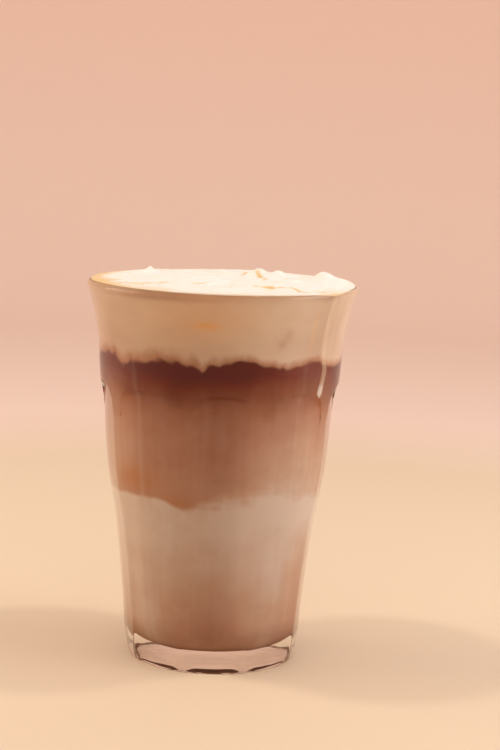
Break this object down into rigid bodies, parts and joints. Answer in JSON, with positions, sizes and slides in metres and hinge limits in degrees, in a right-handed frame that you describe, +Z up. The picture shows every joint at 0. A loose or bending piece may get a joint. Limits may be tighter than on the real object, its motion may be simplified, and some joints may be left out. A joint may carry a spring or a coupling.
{
  "type": "latte",
  "caption": "Layered latte in a tall clear glass tumbler with arched panels: pale milk, coffee with milk, dark espresso and thick cream heaped over the rim, with a thin drip down the outside.",
  "frame": {"origin": "centre of the foot of the glass, on the surface it stands on", "axes": "+Z up along the glass's axis; -Y is the side that faces the camera, so +X is its right"},
  "size_m": [0.0874, 0.0874, 0.1267],
  "materials": {
    "glass": "clear pressed glass, smooth and shiny",
    "milk": "opaque milk tinged with coffee, wet",
    "coffee_milk": "opaque coffee mixed with milk, wet",
    "espresso": "dark espresso, wet",
    "cream": "thick spooned cream, soft satin"
  },
  "bodies": {
    "root": {"glass": "glass", "milk": "milk", "coffee_milk": "coffee_milk", "espresso": "espresso", "cream": "cream"}
  },
  "joints": []
}
